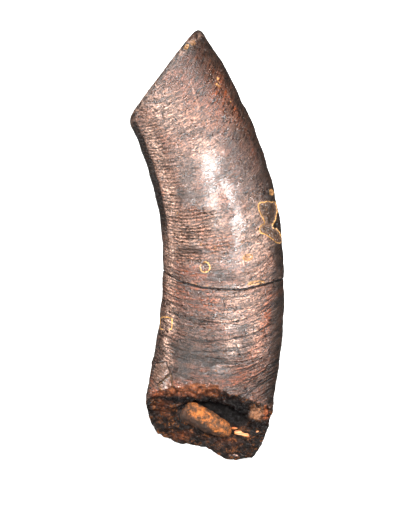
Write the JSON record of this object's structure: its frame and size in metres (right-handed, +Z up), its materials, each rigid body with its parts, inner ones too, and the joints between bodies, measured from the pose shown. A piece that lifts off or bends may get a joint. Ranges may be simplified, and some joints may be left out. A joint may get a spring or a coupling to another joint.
{
  "type": "fossil giant sloth tooth",
  "caption": "Long curved fossil tooth lying on its flatter side, with a worn slanting tip, a crack round its shaft and a broken open root that holds sediment.",
  "frame": {"origin": "middle of the underside of the bounding box, on the table that the tooth lies on", "axes": "+Y along the tooth towards its worn tip, +X to the outer side of its curve, +Z up from the table"},
  "size_m": [0.0462, 0.1306, 0.0191],
  "materials": {
    "fossil_tooth": "mineralised dentine and cementum, dark copper brown, worn to a satin polish, with fine growth rings across it",
    "sediment": "cemented ochre silt, matt and grainy"
  },
  "bodies": {
    "root": {"tooth": "fossil_tooth", "sediment": "sediment"}
  },
  "joints": []
}
